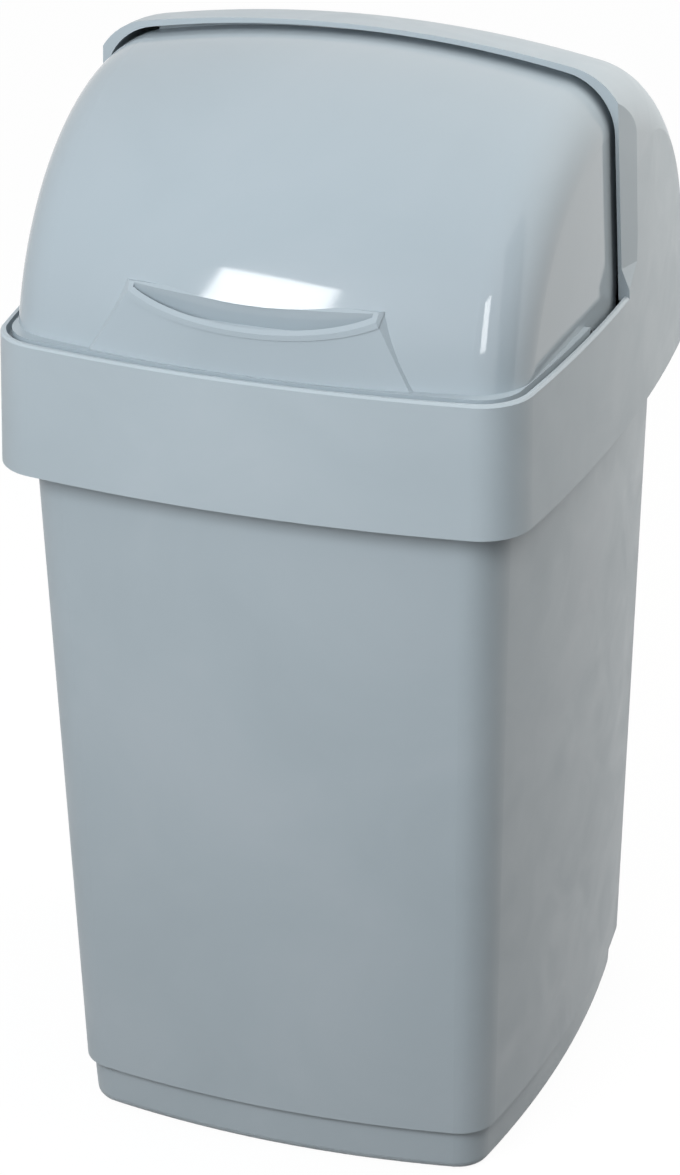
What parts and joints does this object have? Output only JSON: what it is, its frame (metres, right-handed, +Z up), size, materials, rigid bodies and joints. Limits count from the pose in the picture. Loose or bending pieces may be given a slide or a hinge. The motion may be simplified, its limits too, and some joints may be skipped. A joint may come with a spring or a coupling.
{
  "type": "roll-top trash can",
  "caption": "Free-standing roll-top bin: tapered body on a foot step, lift-off collar and hood moulded as one, and a glossy flap that rolls back under the hood.",
  "frame": {"origin": "on the floor, under the middle of the bin", "axes": "+Z up, the flap faces -Y, +X to the right seen from the front"},
  "size_m": [0.287, 0.31, 0.5651],
  "materials": {
    "satin_plastic": "silver-grey moulded polypropylene, fine satin",
    "hood_plastic": "silver-grey moulded polypropylene, satin to semi-gloss",
    "gloss_plastic": "silver-grey moulded polypropylene, polished",
    "pin_plastic": "grey acetal"
  },
  "bodies": {
    "bin": {"bin_body": "satin_plastic"},
    "hood": {"roll_top_hood": "hood_plastic"},
    "flap": {"roll_top_flap": "gloss_plastic", "left_pivot_pin": "pin_plastic", "right_pivot_pin": "pin_plastic"}
  },
  "joints": [
    {"name": "hood_lift", "type": "slide", "parent": "bin", "child": "hood", "axis": [0, 0, 1], "range_m": [0, 0.08]},
    {"name": "flap_roll", "type": "hinge", "parent": "hood", "child": "flap", "pos_m": [0, 0, 0.413], "axis": [-1, 0, 0], "range_deg": [0, 60]}
  ]
}
